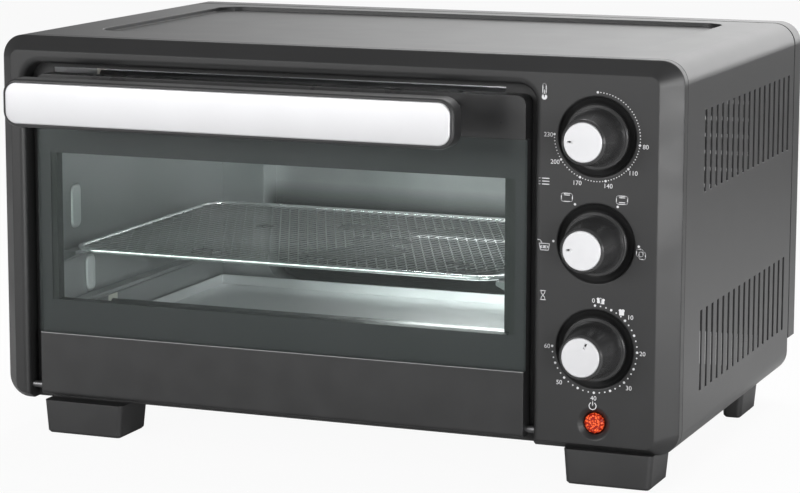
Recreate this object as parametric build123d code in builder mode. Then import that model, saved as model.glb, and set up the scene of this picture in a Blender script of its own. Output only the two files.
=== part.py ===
from build123d import *
import os

# Countertop air fryer oven with a glass door that drops forward on its lower edge.
# x runs to the right, y to the back and z up. The origin is under the middle of the
# whole object, on the worktop.

# Driving dimensions in millimetres

# Outer body
body_width = 410.0
body_height = 214.4
body_corner = 13.0
foot_height = 19.5
sheet = 1.0
seam = 0.6
wrap_depth = 232.0

# Front frame and control panel
frame_edge = 5.5
frame_depth = 12.0
bevel_left = 7.8
bevel_right = 12.2
bevel_top = 8.4
bevel_bottom = 4.0
bevel_corner = 5.0
post_width = 16.3
panel_width = 81.4
header_height = 15.4
opening_corner = 10.0
opening_round = 4.0
panel_wall = 2.5
panel_rim = 3.0

# Rear cover
rear_gap = 2.0
rear_cover_depth = 18.0
rear_cover_rise = 21.0
rear_cover_wall = 1.2
rear_cover_round = 4.0
rear_flange = 12.0

# Door
door_gap_left = 8.5
door_gap_right = 5.3
door_gap_top = 6.0
door_rise = 4.3
door_back_gap = 1.0
door_corner = 5.0
top_rail_height = 24.0
bottom_rail_height = 36.7
rail_wall = 3.0
glass_thickness = 4.0
inner_frame_wall = 1.2
inner_frame_side = 10.0
inner_frame_end = 19.5
hinge_rise = 8.3
hinge_setback = 6.0
pin_radius = 2.0
pin_length_in_rail = 10.0
pin_length_in_post = 4.5
pin_length_in_panel = 2.4
hinge_block_height = 10.0
lower_edge_round = 4.0

# Handle
handle_reach = 60.0
handle_left_margin = 4.0
handle_right_margin = 23.5
handle_height = 27.5
handle_thickness = 12.0
handle_corner = 9.0
handle_round = 1.8
handle_drop = 11.5
insert_margin = 2.1
insert_depth = 1.5
insert_proud = 1.0
insert_round = 0.9
post_inset = 24.0
post_block_width = 26.0
post_block_height = 18.0
post_corner = 3.0
post_taper_width = 20.0
post_taper_height = 15.0
handle_screw_radius = 2.0
handle_screw_head = 3.6
handle_screw_head_height = 2.4
handle_screw_recess = 1.0
handle_screw_bite = 6.0

# Cooking cavity
cavity_left_margin = 29.8
cavity_right_margin = 20.8
cavity_rise = 30.0
cavity_top_margin = 18.4
cavity_back_gap = 4.0
liner = 1.0
bulge_margin = 30.0
bulge_rise = 3.0
bulge_top_margin = 23.0
bulge_depth = 20.0
bulge_corner = 20.0
ledge_width = 8.0
ledge_height = 6.0
ledge_lip = 2.0
ledge_front = 8.0
ledge_back_margin = 14.0
lower_ledge_rise = 56.0

# Mesh tray
tray_below_fan = 16.0
tray_front = 5.0
tray_back_gap = 23.0
tray_side_gap = 4.0
tray_corner = 17.0
tray_wire = 1.5
tray_net_thickness = 1.0
tray_net_bar = 3.0
tray_net_columns = 10
tray_net_rows = 6

# Crumb tray
crumb_side_gap = 2.0
crumb_front = 4.0
crumb_back_gap = 6.0
crumb_thickness = 0.8
crumb_lip = 7.0
crumb_rib_start = 136.0
crumb_rib_setback = 112.0
crumb_rib_width = 12.0
crumb_rib_height = 5.0
crumb_rib_round = 4.0

# Heating elements
element_radius = 3.25
upper_element_drop = 11.0
lower_element_rise = 14.0
upper_element_setbacks = (60.0, 190.0)
lower_element_setbacks = (36.0, 70.0)
element_overhang = 12.0
insulator_collar = 12.0
insulator_flange = 17.0
insulator_flange_height = 4.0

# Convection fan in the right wall of the cavity
fan_setback = 130.0
fan_drop = 53.0
fan_guard_radius = 39.0
fan_guard_depth = 18.0
fan_guard_wall = 1.2
fan_guard_edge = 0.8
fan_guard_slots = 14
guard_slot_place = 21.5
guard_slot_length = 19.5
guard_slot_width = 3.5
impeller_radius = 33.0
impeller_plate = 1.2
impeller_blades = 10
blade_height = 10.0
blade_length = 14.0
blade_tip_gap = 1.0
impeller_gap = 3.6
hub_radius = 6.0
hub_height = 8.0
shaft_radius = 2.5
motor_offset = 14.0
motor_size = 52.0
motor_length = 24.0
motor_cap_radius = 12.0
motor_cap_length = 8.0
motor_cap_wall = 1.0
motor_corner = 4.0
bracket_height = 14.0
bracket_overhang = 8.0
bracket_sheet = 1.5
bracket_hole_radius = 3.5

# Controls
control_inset = 46.2
temperature_drop = 41.7
timer_rise = 57.2
dish_radius = 22.0
dish_depth = 1.2
knob_reach = 25.0
knob_flange_radius = 17.6
knob_flange_height = 2.4
knob_root_radius = 15.8
knob_tip_radius = 12.3
knob_edge = 1.0
knob_flange_edge = 0.5
knob_wall = 2.0
knob_hub_radius = 5.5
knob_float = 0.6
cap_radius = 10.8
cap_depth = 1.6
cap_edge = 0.4
cap_notch_width = 1.2
cap_notch_length = 3.2
cap_notch_radius = 7.0
control_shaft_radius = 3.0
control_shaft_depth = 9.0
knob_front_wall = 3.2
bush_radius = 4.9
bush_reach = 6.0
nut_width = 14.0
nut_height = 2.5
housing_corner = 3.0
thermostat_radius = 17.0
thermostat_depth = 16.0
switch_size = 32.0
switch_depth = 24.0
timer_size = 46.0
timer_depth = 30.0
bell_radius = 20.0
bell_depth = 9.0
bell_wall = 1.0

# Indicator lamp
lamp_rise = 16.0
lamp_recess_radius = 9.2
lamp_radius = 5.7
lamp_lens_height = 2.0
lamp_lens_facets = 12
lamp_lens_chamfer = 1.2
lamp_body_radius = 5.0
lamp_body_length = 8.0

# Side vents: two banks of upright slots in the right side
vent_slots = 17
vent_back_margin = 12.0
vent_width = 4.0
vent_height = 45.2
upper_vent_start = 37.2
lower_vent_start = 34.5
upper_vent_drop = 52.7
lower_vent_rise = 51.4

# Rear vents: level slots behind the controls
rear_vent_rows = 6
rear_vent_pitch = 10.6
rear_vent_rise = 110.0
rear_vent_height = 2.4
rear_vent_far_inset = 83.0
rear_vent_near_inset = 30.0

# Sunk panel in the top
top_panel_side = 38.0
top_panel_front = 35.0
top_panel_back_margin = 14.0
top_panel_corner = 15.0
top_panel_depth = 2.5

# Feet
front_foot_width = 51.0
front_foot_length = 35.0
front_foot_lead = 10.0
rear_foot_width = 14.0
rear_foot_length = 36.0
rear_foot_margin = 53.0
left_foot_inset = 24.8
right_foot_inset = 13.2
foot_taper = 1.5
foot_corner = 3.0
foot_edge = 1.2
foot_screw_recess_radius = 4.2
foot_screw_recess = 9.0
foot_screw_bite = 3.0

# Fasteners and fits
fit = 0.05
screw_radius = 1.8
screw_head = 3.6
screw_sides = 6
screw_head_height = 2.2
frame_screw_length = 6.0
frame_screw_margin = 42.9
frame_screw_inset = 10.0
boss_radius = 5.5
boss_counterbore_depth = 4.0
cover_screw_length = 20.0
gland_radius = 8.0
gland_flange = 10.0
gland_length = 9.0
gland_bore = 3.6
gland_rise = 45.0
gland_inset = 55.0

# Places worked out from the driving dimensions

rear_reach = wrap_depth + rear_gap + rear_cover_depth
seam_y = (handle_reach - rear_reach) / 2
face_y = seam_y - frame_depth
half = body_width / 2
base_z = foot_height
top_z = base_z + body_height
inside = half - sheet

opening_left = -half + post_width
opening_right = half - panel_width
opening_top = top_z - header_height

door_left = opening_left + door_gap_left
door_right = opening_right - door_gap_right
door_top = opening_top - door_gap_top
door_bottom = base_z + door_rise
door_back = seam_y - door_back_gap
door_thickness = door_back - face_y
glass_top = door_top - top_rail_height
glass_bottom = door_bottom + bottom_rail_height
hinge_y = seam_y - hinge_setback
hinge_z = base_z + hinge_rise

cavity_left = -half + cavity_left_margin
cavity_right = opening_right - cavity_right_margin
cavity_floor_z = base_z + cavity_rise
cavity_top_z = top_z - cavity_top_margin
cavity_front = seam_y + sheet
cavity_back = seam_y + wrap_depth - cavity_back_gap

handle_left = door_left + handle_left_margin
handle_right = door_right - handle_right_margin
handle_back = seam_y - handle_reach + insert_proud + handle_thickness
handle_mid_z = door_top - handle_drop
post_places = [
    (handle_left + post_inset, handle_mid_z),
    (handle_right - post_inset, handle_mid_z),
]

control_x = half - control_inset
temperature_z = top_z - temperature_drop
timer_z = base_z + timer_rise
control_heights = {
    "temperature": temperature_z,
    "function": (temperature_z + timer_z) / 2,
    "timer": timer_z,
}
dish_floor = face_y + dish_depth
knob_front = face_y - knob_reach
lamp_z = base_z + lamp_rise

fan_y = seam_y + fan_setback
fan_z = cavity_top_z - fan_drop
tray_z = fan_z - fan_guard_radius - tray_below_fan
upper_element_z = cavity_top_z - upper_element_drop
lower_element_z = cavity_floor_z + lower_element_rise

cover_front = seam_y + wrap_depth + rear_gap
cover_back = cover_front + rear_cover_depth
cover_bottom = base_z + rear_cover_rise
flange_back = seam_y + wrap_depth
cover_screw_places = [
    (-half + rear_flange, top_z - rear_flange - boss_radius),
    (half - rear_flange, top_z - rear_flange - boss_radius),
    (-half + rear_flange, cover_bottom + rear_flange),
    (half - rear_flange, cover_bottom + rear_flange),
]
frame_screw_places = [
    (-half + frame_screw_inset, base_z + frame_screw_margin),
    (-half + frame_screw_inset, top_z - frame_screw_margin),
    (half - frame_screw_inset, base_z + frame_screw_margin),
    (half - frame_screw_inset, top_z - frame_screw_margin),
]

front_foot_y = seam_y - front_foot_lead
rear_foot_y = seam_y + wrap_depth - rear_foot_margin
left_foot_x = -half + left_foot_inset
right_foot_x = half - right_foot_inset
left_front_foot_end = left_foot_x + front_foot_width
left_rear_foot_end = left_foot_x + rear_foot_width
right_front_foot_start = right_foot_x - front_foot_width
right_rear_foot_start = right_foot_x - rear_foot_width
front_foot_back = front_foot_y + front_foot_length
rear_foot_back = rear_foot_y + rear_foot_length
foot_spans = {
    "foot_front_left": (left_foot_x, left_front_foot_end, front_foot_y, front_foot_back),
    "foot_front_right": (right_front_foot_start, right_foot_x, front_foot_y, front_foot_back),
    "foot_rear_left": (left_foot_x, left_rear_foot_end, rear_foot_y, rear_foot_back),
    "foot_rear_right": (right_rear_foot_start, right_foot_x, rear_foot_y, rear_foot_back),
}
foot_screw_places = [
    ((low_x + high_x) / 2, high_y - front_foot_length / 2 + front_foot_lead / 2)
    for low_x, high_x, low_y, high_y in foot_spans.values()
]


# Planes that face the front, the right side and the top


def front(y):
    return Plane.XZ.offset(-y)


def side(x):
    return Plane.YZ.offset(x)


def level(z):
    return Plane.XY.offset(z)


# Turn that points a primitive's own z axis at the viewer
TO_FRONT = (90, 0, 0)


def panel(low_u, high_u, low_v, high_v, corner=0.0, mode=Mode.ADD):
    """Rectangle between two pairs of limits, with rounded corners where one is given."""
    with Locations(((low_u + high_u) / 2, (low_v + high_v) / 2)):
        if corner > 0:
            RectangleRounded(high_u - low_u, high_v - low_v, corner, mode=mode)
        else:
            Rectangle(high_u - low_u, high_v - low_v, mode=mode)


def body_outline(inset=0.0):
    """Front view outline of the body, drawn in by an inset."""
    panel(
        -half + inset,
        half - inset,
        base_z + inset,
        top_z - inset,
        body_corner - inset,
    )


pieces = {}


# Outer wrap: one bent sheet with a sunk top panel and two banks of side vents

with BuildPart() as cabinet_wrap:
    with BuildSketch(front(seam_y + wrap_depth)):
        body_outline()
        panel(-half + sheet, half - sheet, base_z + sheet, top_z - sheet, body_corner - sheet, Mode.SUBTRACT)
    extrude(amount=wrap_depth - seam)
    # Rear flange that the cover screws to
    with BuildSketch(front(flange_back)):
        body_outline()
        panel(
            -half + rear_flange + boss_radius,
            half - rear_flange - boss_radius,
            base_z + sheet,
            top_z - rear_flange,
            body_corner,
            Mode.SUBTRACT,
        )
        with Locations(*cover_screw_places):
            Circle(screw_radius + fit, mode=Mode.SUBTRACT)
    extrude(amount=sheet)
    # The underside stays open between two turned-in flanges
    with BuildSketch(level(base_z)):
        panel(
            -half + body_corner + rear_flange,
            half - body_corner - rear_flange,
            seam_y,
            flange_back,
        )
    extrude(amount=sheet, mode=Mode.SUBTRACT)
    with BuildSketch(level(base_z)):
        with Locations(*foot_screw_places):
            Circle(screw_radius + fit)
    extrude(amount=sheet, mode=Mode.SUBTRACT)
    # Sunk top panel
    with BuildSketch(level(top_z - top_panel_depth - sheet)):
        panel(
            -half + top_panel_side - sheet,
            half - top_panel_side + sheet,
            seam_y + top_panel_front - sheet,
            flange_back - top_panel_back_margin + sheet,
            top_panel_corner + sheet,
        )
    extrude(amount=top_panel_depth)
    with BuildSketch(level(top_z - top_panel_depth)):
        panel(
            -half + top_panel_side,
            half - top_panel_side,
            seam_y + top_panel_front,
            flange_back - top_panel_back_margin,
            top_panel_corner,
        )
    extrude(amount=top_panel_depth + sheet, mode=Mode.SUBTRACT)
    # Side vents
    vent_pitch = (wrap_depth - upper_vent_start - vent_back_margin) / (vent_slots - 1)
    vent_banks = (
        (upper_vent_start, top_z - upper_vent_drop),
        (lower_vent_start, base_z + lower_vent_rise),
    )
    for vent_start, vent_z in vent_banks:
        vent_middle = seam_y + vent_start + vent_pitch * (vent_slots - 1) / 2
        with BuildSketch(side(inside - sheet)):
            with Locations((vent_middle, vent_z)):
                with GridLocations(vent_pitch, vent_height, vent_slots, 1):
                    Rectangle(vent_width, vent_height)
        extrude(amount=3 * sheet, mode=Mode.SUBTRACT)
pieces["cabinet_wrap"] = cabinet_wrap.part


# Front frame: bevelled moulding with the door opening and the control panel

with BuildPart() as front_frame:
    with BuildSketch(front(seam_y)):
        body_outline()
    extrude(amount=frame_edge)
    with BuildSketch(front(seam_y - frame_edge)):
        body_outline()
    with BuildSketch(front(face_y)):
        panel(
            -half + bevel_left,
            half - bevel_right,
            base_z + bevel_bottom,
            top_z - bevel_top,
            bevel_corner,
        )
    loft(ruled=True)
    with BuildSketch(front(seam_y)):
        panel(opening_left, opening_right, -body_height, opening_top, opening_corner)
    extrude(amount=frame_depth, mode=Mode.SUBTRACT)
    opening_edges = front_frame.edges().filter_by(
        lambda e: abs(e.center().Y - face_y) < fit
        and opening_left - fit < e.center().X < opening_right + fit
        and e.center().Z < opening_top + fit
    )
    fillet(opening_edges, opening_round)
    # Hollow behind the control panel
    with BuildSketch(front(seam_y)):
        panel(
            opening_right + panel_rim,
            half - bevel_right - panel_rim,
            base_z + bevel_bottom + panel_rim,
            top_z - bevel_top - panel_rim,
            panel_rim,
        )
    extrude(amount=frame_depth - panel_wall, mode=Mode.SUBTRACT)
    # Dishes and holes for the three knobs
    for control_z in control_heights.values():
        with Locations((control_x, face_y + dish_depth / 2, control_z)):
            Cone(dish_radius - dish_depth, dish_radius, dish_depth, rotation=TO_FRONT, mode=Mode.SUBTRACT)
        with BuildSketch(front(seam_y)):
            with Locations((control_x, control_z)):
                Circle(bush_radius + fit)
        extrude(amount=frame_depth, mode=Mode.SUBTRACT)
    # Funnel round the indicator lamp
    with Locations((control_x, face_y + panel_wall / 2, lamp_z)):
        Cone(lamp_radius + fit, lamp_recess_radius, panel_wall, rotation=TO_FRONT, mode=Mode.SUBTRACT)
    # Bearing holes for the door's hinge pins
    with BuildSketch(side(opening_left - pin_length_in_post - fit)):
        with Locations((hinge_y, hinge_z)):
            Circle(pin_radius + fit)
    extrude(amount=post_width, mode=Mode.SUBTRACT)
    with BuildSketch(side(opening_right - fit)):
        with Locations((hinge_y, hinge_z)):
            Circle(pin_radius + fit)
    extrude(amount=panel_rim + 2 * fit, mode=Mode.SUBTRACT)
    # Pilot holes for the screws that come through the chassis
    with BuildSketch(front(seam_y)):
        with Locations(*frame_screw_places):
            Circle(screw_radius + fit)
    extrude(amount=frame_screw_length + fit, mode=Mode.SUBTRACT)
pieces["front_frame"] = front_frame.part


# Front chassis: face plate with the cavity mouth and the holes for the controls

with BuildPart() as front_chassis:
    with BuildSketch(front(seam_y + sheet)):
        body_outline(sheet + 2 * fit)
        panel(cavity_left, cavity_right, cavity_floor_z, cavity_top_z, 0, Mode.SUBTRACT)
        with Locations(*[(control_x, z) for z in control_heights.values()]):
            Circle(bush_radius + fit, mode=Mode.SUBTRACT)
        with Locations((control_x, lamp_z)):
            Circle(lamp_body_radius + fit, mode=Mode.SUBTRACT)
        with Locations(*frame_screw_places):
            Circle(screw_radius + fit, mode=Mode.SUBTRACT)
    extrude(amount=sheet)
pieces["front_chassis"] = front_chassis.part


# Base plate between the wrap's lower flanges

flange_reach = half - body_corner - rear_flange
with BuildPart() as base_plate:
    with BuildSketch(level(base_z)):
        panel(
            -flange_reach + 2 * fit,
            flange_reach - 2 * fit,
            seam_y + sheet,
            seam_y + wrap_depth - sheet - 2 * fit,
        )
        with Locations(*foot_screw_places):
            Circle(screw_radius + fit, mode=Mode.SUBTRACT)
    extrude(amount=sheet)
pieces["base_plate"] = base_plate.part


# Rear cover: shallow pressed pan with level vents behind the controls

with BuildPart() as rear_cover:
    with BuildSketch(front(cover_back)):
        body_outline()
        panel(-body_width, body_width, -body_height, cover_bottom, 0, Mode.SUBTRACT)
    extrude(amount=rear_cover_depth)
    back_edges = rear_cover.faces().sort_by(Axis.Y)[-1].edges()
    fillet(back_edges, rear_cover_round)
    with BuildSketch(front(cover_back - rear_cover_wall)):
        body_outline(rear_cover_wall)
        panel(
            -body_width,
            body_width,
            -body_height,
            cover_bottom + rear_cover_wall,
            0,
            Mode.SUBTRACT,
        )
    extrude(amount=rear_cover_depth, mode=Mode.SUBTRACT)
    # Screw bosses that stand on the wrap's rear flange
    with BuildSketch(front(cover_back - rear_cover_wall)):
        with Locations(*cover_screw_places):
            Circle(boss_radius)
    extrude(amount=cover_back - rear_cover_wall - flange_back)
    with BuildSketch(front(cover_back)):
        with Locations(*cover_screw_places):
            Circle(screw_radius + fit)
    extrude(amount=cover_back - flange_back, mode=Mode.SUBTRACT)
    with BuildSketch(front(cover_back)):
        with Locations(*cover_screw_places):
            Circle(screw_head + 2 * fit)
    extrude(amount=boss_counterbore_depth, mode=Mode.SUBTRACT)
    # Level vents
    rear_vent_left = half - rear_vent_far_inset
    rear_vent_right = half - rear_vent_near_inset
    vent_mid_x = (rear_vent_left + rear_vent_right) / 2
    vent_mid_z = base_z + rear_vent_rise + rear_vent_pitch * (rear_vent_rows - 1) / 2
    with BuildSketch(front(cover_back)):
        with Locations((vent_mid_x, vent_mid_z)):
            with GridLocations(rear_vent_pitch, rear_vent_pitch, 1, rear_vent_rows):
                Rectangle(rear_vent_right - rear_vent_left, rear_vent_height)
        with Locations((half - gland_inset, base_z + gland_rise)):
            Circle(gland_radius + fit)
    extrude(amount=rear_cover_wall, mode=Mode.SUBTRACT)
pieces["rear_cover"] = rear_cover.part

with BuildPart() as cord_gland:
    with BuildSketch(front(cover_back)):
        with Locations((half - gland_inset, base_z + gland_rise)):
            Circle(gland_radius)
    extrude(amount=gland_length)
    with BuildSketch(front(cover_back - rear_cover_wall)):
        with Locations((half - gland_inset, base_z + gland_rise)):
            Circle(gland_flange)
    extrude(amount=rear_cover_wall)
    with BuildSketch(front(cover_back)):
        with Locations((half - gland_inset, base_z + gland_rise)):
            Circle(gland_bore)
    extrude(amount=gland_length, mode=Mode.SUBTRACT)
pieces["cord_gland"] = cord_gland.part


# Cooking cavity: five liner plates

def wall_with_ledges(wall_x, inward):
    """Side wall of the cavity with two pressed ledges that a tray slides on."""
    outer_x = wall_x - inward * liner
    ledge_tops = (base_z + lower_ledge_rise, tray_z - tray_wire - 2 * fit)
    with BuildPart() as wall:
        with BuildSketch(side(min(wall_x, outer_x))):
            panel(cavity_front, cavity_back, cavity_floor_z - liner, cavity_top_z + liner)
            for setbacks, height in (
                (upper_element_setbacks, upper_element_z),
                (lower_element_setbacks, lower_element_z),
            ):
                with Locations(*[(seam_y + s, height) for s in setbacks]):
                    Rectangle(insulator_collar + 2 * fit, insulator_collar + 2 * fit, mode=Mode.SUBTRACT)
            if inward < 0:
                with Locations((fan_y, fan_z)):
                    Circle(hub_radius, mode=Mode.SUBTRACT)
        extrude(amount=liner)
        for top in ledge_tops:
            with BuildSketch(front(cavity_back - ledge_back_margin)):
                with BuildLine():
                    Polyline(
                        (wall_x, top - ledge_height),
                        (wall_x + inward * ledge_width, top - ledge_lip),
                        (wall_x + inward * ledge_width, top),
                        (wall_x, top),
                        close=True,
                    )
                make_face()
            extrude(amount=cavity_back - ledge_back_margin - seam_y - ledge_front)
    return wall.part


pieces["cavity_wall_left"] = wall_with_ledges(cavity_left, 1)
pieces["cavity_wall_right"] = wall_with_ledges(cavity_right, -1)

for plate_name, plate_z in (
    ("cavity_floor", cavity_floor_z - liner),
    ("cavity_ceiling", cavity_top_z),
):
    with BuildPart() as plate:
        with BuildSketch(level(plate_z)):
            panel(cavity_left, cavity_right, cavity_front, cavity_back)
        extrude(amount=liner)
    pieces[plate_name] = plate.part

bulge_left = cavity_left + bulge_margin
bulge_right = cavity_right - bulge_margin
bulge_bottom = cavity_floor_z + bulge_rise
bulge_top = cavity_top_z - bulge_top_margin
with BuildPart() as cavity_back_wall:
    with BuildSketch(front(cavity_back + liner)):
        panel(cavity_left - liner, cavity_right + liner, cavity_floor_z - liner, cavity_top_z + liner)
    extrude(amount=liner)
    with BuildSketch(front(cavity_back + bulge_depth)):
        panel(
            bulge_left - liner,
            bulge_right + liner,
            bulge_bottom - liner,
            bulge_top + liner,
            bulge_corner + liner,
        )
    extrude(amount=bulge_depth)
    with BuildSketch(front(cavity_back + bulge_depth - liner)):
        panel(bulge_left, bulge_right, bulge_bottom, bulge_top, bulge_corner)
    extrude(amount=bulge_depth, mode=Mode.SUBTRACT)
pieces["cavity_back"] = cavity_back_wall.part


# Crumb tray: thin pan on the cavity floor with a lip and one pressed rib

crumb_left = cavity_left + crumb_side_gap
crumb_right = cavity_right - crumb_side_gap
crumb_front_y = seam_y + crumb_front
crumb_back_y = cavity_back - crumb_back_gap
crumb_z = cavity_floor_z + 2 * fit
with BuildPart() as crumb_tray:
    with BuildSketch(level(crumb_z)):
        panel(crumb_left, crumb_right, crumb_front_y, crumb_back_y)
    extrude(amount=crumb_thickness)
    with BuildSketch(level(crumb_z)):
        panel(crumb_left, crumb_right, crumb_front_y, crumb_back_y)
        panel(
            crumb_left + crumb_thickness,
            crumb_right - crumb_thickness,
            crumb_front_y + crumb_thickness,
            crumb_back_y - crumb_thickness,
            0,
            Mode.SUBTRACT,
        )
    extrude(amount=crumb_lip)
    with BuildSketch(level(crumb_z + crumb_thickness)):
        panel(
            cavity_left + crumb_rib_start,
            crumb_right - crumb_thickness,
            seam_y + crumb_rib_setback,
            seam_y + crumb_rib_setback + crumb_rib_width,
        )
    extrude(amount=crumb_rib_height)
    rib_top = crumb_z + crumb_thickness + crumb_rib_height
    rib_edges = crumb_tray.edges().filter_by(
        lambda e: abs(e.center().Z - rib_top) < fit and e.length > crumb_rib_width
    )
    fillet(rib_edges, crumb_rib_round)
pieces["crumb_tray"] = crumb_tray.part


# Mesh tray: a wire rim and a net that lies in it

tray_left = cavity_left + tray_side_gap
tray_right = cavity_right - tray_side_gap
tray_front_y = seam_y + tray_front
tray_back_y = cavity_back - tray_back_gap
tray_mid_x = (tray_left + tray_right) / 2
tray_mid_y = (tray_front_y + tray_back_y) / 2
bend_inset = tray_wire + tray_corner
with BuildPart() as tray_rim:
    for wire_x in (tray_left + tray_wire, tray_right - tray_wire):
        with BuildSketch(front(tray_back_y - bend_inset)):
            with Locations((wire_x, tray_z)):
                Circle(tray_wire)
        extrude(amount=tray_back_y - tray_front_y - 2 * bend_inset)
    for wire_y in (tray_front_y + tray_wire, tray_back_y - tray_wire):
        with BuildSketch(side(tray_left + bend_inset)):
            with Locations((wire_y, tray_z)):
                Circle(tray_wire)
        extrude(amount=tray_right - tray_left - 2 * bend_inset)
    # Quarter bends at the corners, counted round from the right rear one
    for turn, (sign_x, sign_y) in enumerate(((1, 1), (-1, 1), (-1, -1), (1, -1))):
        bend_x = tray_mid_x + sign_x * ((tray_right - tray_left) / 2 - bend_inset)
        bend_y = tray_mid_y + sign_y * ((tray_back_y - tray_front_y) / 2 - bend_inset)
        bend_plane = Plane((bend_x, bend_y, tray_z), x_dir=(1, 0, 0), z_dir=(0, -1, 0))
        with BuildSketch(bend_plane.rotated((0, 0, 90 * turn))):
            with Locations((tray_corner, 0)):
                Circle(tray_wire)
        revolve(axis=Axis((bend_x, bend_y, tray_z), (0, 0, 1)), revolution_arc=90)
pieces["tray_rim"] = tray_rim.part

net_inset = 2 * tray_wire + fit
with BuildPart() as tray_net:
    with BuildSketch(level(tray_z - tray_net_thickness / 2)):
        net_left = tray_left + net_inset
        net_right = tray_right - net_inset
        net_front = tray_front_y + net_inset
        net_back = tray_back_y - net_inset
        panel(net_left, net_right, net_front, net_back, tray_corner - tray_wire - fit)
        cell_x = (net_right - net_left - 2 * tray_corner) / tray_net_columns
        cell_y = (net_back - net_front - 2 * tray_corner) / tray_net_rows
        with Locations(((net_left + net_right) / 2, (net_front + net_back) / 2)):
            with GridLocations(cell_x, cell_y, tray_net_columns, tray_net_rows):
                Rectangle(cell_x - tray_net_bar, cell_y - tray_net_bar, mode=Mode.SUBTRACT)
    extrude(amount=tray_net_thickness)
pieces["tray_net"] = tray_net.part


# Heating elements and the ceramic insulators at their ends

element_rows = {
    "upper_element_front": (seam_y + upper_element_setbacks[0], upper_element_z),
    "upper_element_rear": (seam_y + upper_element_setbacks[1], upper_element_z),
    "lower_element_front": (seam_y + lower_element_setbacks[0], lower_element_z),
    "lower_element_rear": (seam_y + lower_element_setbacks[1], lower_element_z),
}
for element_name, place in element_rows.items():
    with BuildPart() as element:
        with BuildSketch(side(cavity_left - element_overhang)):
            with Locations(place):
                Circle(element_radius)
        extrude(amount=cavity_right - cavity_left + 2 * element_overhang)
    pieces[element_name] = element.part

with BuildPart() as element_insulators:
    for wall_x, outward in ((cavity_left, -1), (cavity_right, 1)):
        outer_x = wall_x + outward * liner
        for place in element_rows.values():
            with BuildSketch(side(wall_x)):
                with Locations(place):
                    Rectangle(insulator_collar, insulator_collar)
            extrude(amount=outward * (liner + insulator_flange_height))
            with BuildSketch(side(outer_x)):
                with Locations(place):
                    Rectangle(insulator_flange, insulator_flange)
            extrude(amount=outward * insulator_flange_height)
            with BuildSketch(side(wall_x)):
                with Locations(place):
                    Circle(element_radius + fit)
            extrude(amount=outward * (liner + insulator_flange_height), mode=Mode.SUBTRACT)
pieces["element_insulators"] = element_insulators.part


# Convection fan: guard, impeller, shaft, motor and its bracket

guard_face = cavity_right - fan_guard_depth
with BuildPart() as fan_guard:
    with BuildSketch(side(guard_face)):
        with Locations((fan_y, fan_z)):
            Circle(fan_guard_radius)
    extrude(amount=fan_guard_depth)
    chamfer(fan_guard.faces().sort_by(Axis.X)[0].edges(), fan_guard_edge)
    with BuildSketch(side(guard_face + fan_guard_wall)):
        with Locations((fan_y, fan_z)):
            Circle(fan_guard_radius - fan_guard_wall)
    extrude(amount=fan_guard_depth, mode=Mode.SUBTRACT)
    with BuildSketch(side(guard_face)):
        with Locations((fan_y, fan_z)):
            with PolarLocations(guard_slot_place, fan_guard_slots):
                Rectangle(guard_slot_length, guard_slot_width)
    extrude(amount=fan_guard_wall, mode=Mode.SUBTRACT)
pieces["fan_guard"] = fan_guard.part

impeller_back = cavity_right - impeller_gap
with BuildPart() as fan_impeller:
    with BuildSketch(side(impeller_back - impeller_plate)):
        with Locations((fan_y, fan_z)):
            Circle(impeller_radius)
    extrude(amount=impeller_plate)
    with BuildSketch(side(impeller_back - impeller_plate - blade_height)):
        with Locations((fan_y, fan_z)):
            with PolarLocations(impeller_radius - blade_length / 2 - blade_tip_gap, impeller_blades):
                Rectangle(blade_length, impeller_plate)
    extrude(amount=blade_height)
    with BuildSketch(side(impeller_back - hub_height)):
        with Locations((fan_y, fan_z)):
            Circle(hub_radius)
    extrude(amount=hub_height)
    with BuildSketch(side(impeller_back - hub_height)):
        with Locations((fan_y, fan_z)):
            Circle(shaft_radius + fit)
    extrude(amount=hub_height, mode=Mode.SUBTRACT)
pieces["fan_impeller"] = fan_impeller.part

motor_face = cavity_right + liner + motor_offset
motor_back = motor_face + motor_length
with BuildPart() as fan_shaft:
    with BuildSketch(side(impeller_back - hub_height)):
        with Locations((fan_y, fan_z)):
            Circle(shaft_radius)
    extrude(amount=motor_back + motor_cap_length / 2 - impeller_back + hub_height)
pieces["fan_shaft"] = fan_shaft.part

with BuildPart() as fan_motor:
    with BuildSketch(side(motor_face)):
        with Locations((fan_y, fan_z)):
            RectangleRounded(motor_size, motor_size, motor_corner)
    extrude(amount=motor_length)
    with BuildSketch(side(motor_back)):
        with Locations((fan_y, fan_z)):
            Circle(motor_cap_radius)
    extrude(amount=motor_cap_length)
    with BuildSketch(side(motor_face)):
        with Locations((fan_y, fan_z)):
            Circle(shaft_radius + fit)
    extrude(amount=motor_length + motor_cap_length - motor_cap_wall, mode=Mode.SUBTRACT)
pieces["fan_motor"] = fan_motor.part

bracket_width = motor_size + 2 * bracket_overhang
with BuildPart() as motor_bracket:
    with BuildSketch(level(fan_z - bracket_height / 2)):
        with Locations((cavity_right + liner + motor_offset / 2, fan_y)):
            Rectangle(motor_offset, bracket_width)
            Rectangle(motor_offset, bracket_width - 2 * bracket_sheet, mode=Mode.SUBTRACT)
        panel(
            motor_face - bracket_sheet,
            motor_face,
            fan_y - bracket_width / 2,
            fan_y + bracket_width / 2,
        )
    extrude(amount=bracket_height)
    with BuildSketch(side(motor_face - bracket_sheet)):
        with Locations((fan_y, fan_z)):
            Circle(bracket_hole_radius)
    extrude(amount=bracket_sheet, mode=Mode.SUBTRACT)
pieces["motor_bracket"] = motor_bracket.part


# Thermostat, function switch and timer behind the chassis, each with a bush and a nut

back_of_chassis = seam_y + sheet


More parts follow.
